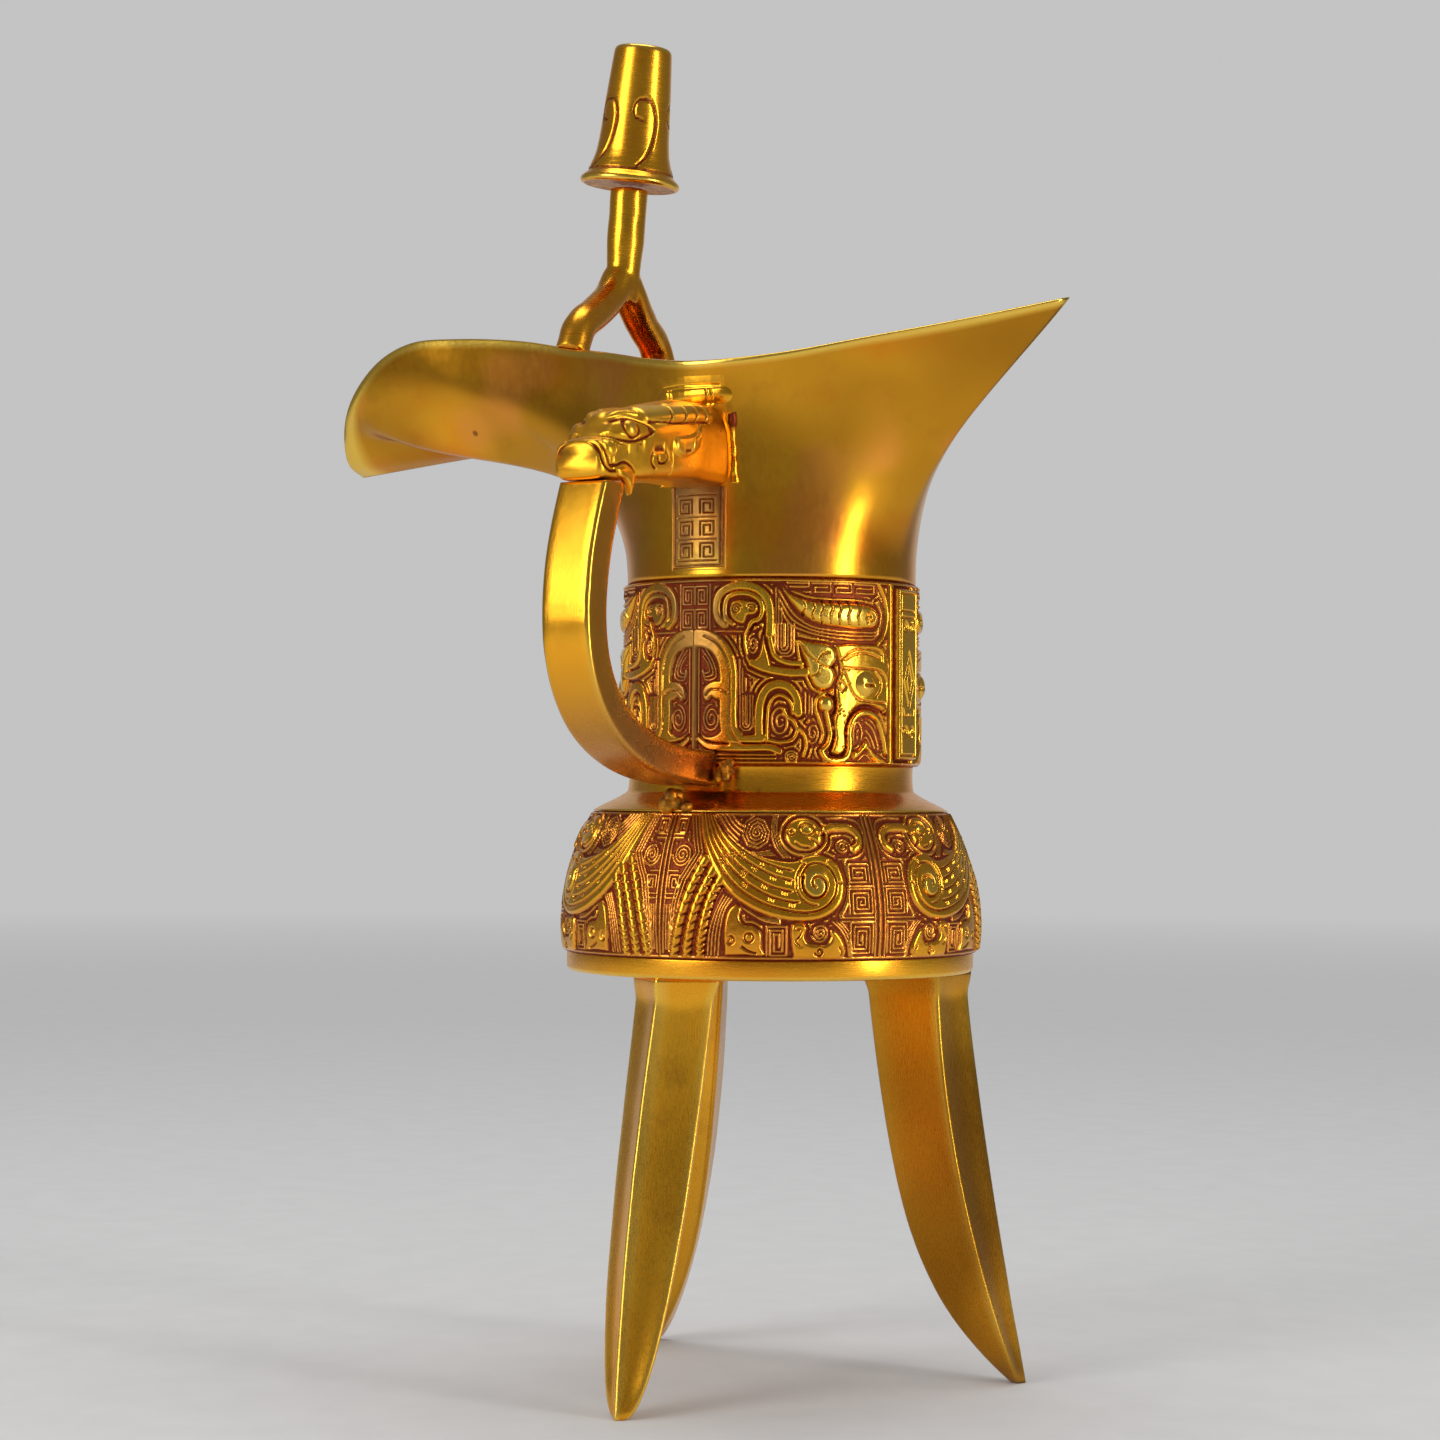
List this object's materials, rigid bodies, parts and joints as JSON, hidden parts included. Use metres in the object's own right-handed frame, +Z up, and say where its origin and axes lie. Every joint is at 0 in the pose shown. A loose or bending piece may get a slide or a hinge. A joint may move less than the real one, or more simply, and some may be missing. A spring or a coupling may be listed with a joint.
{
  "type": "three-legged wine cup (jue)",
  "caption": "Gilt bronze ritual wine cup with a pouring spout, pointed tail, capped post, beast handle and sabre legs.",
  "frame": {"origin": "on the floor, under the centre of the overall outline", "axes": "+Z up along the vessel's axis, +X towards the pointed tail, -Y towards the handle"},
  "size_m": [0.159, 0.1096, 0.2546],
  "materials": {
    "polished_gilt": "polished, brushed",
    "relief_gilt": "polished relief over dark red-brown ground",
    "braze": "rough, oxidised"
  },
  "bodies": {
    "root": {"mouth_casting": "polished_gilt", "waist_frieze": "relief_gilt", "tail_flange": "relief_gilt", "spout_flange": "relief_gilt", "shoulder_ring": "polished_gilt", "belly_frieze": "relief_gilt", "base_ring": "polished_gilt", "bottom_bowl": "polished_gilt", "leg_front": "polished_gilt", "leg_right": "polished_gilt", "leg_rear": "polished_gilt", "handle_head": "polished_gilt", "handle_strap": "polished_gilt", "handle_weld_under": "braze", "handle_weld_side": "braze", "post_fork": "polished_gilt", "post_cap": "polished_gilt"}
  },
  "joints": []
}
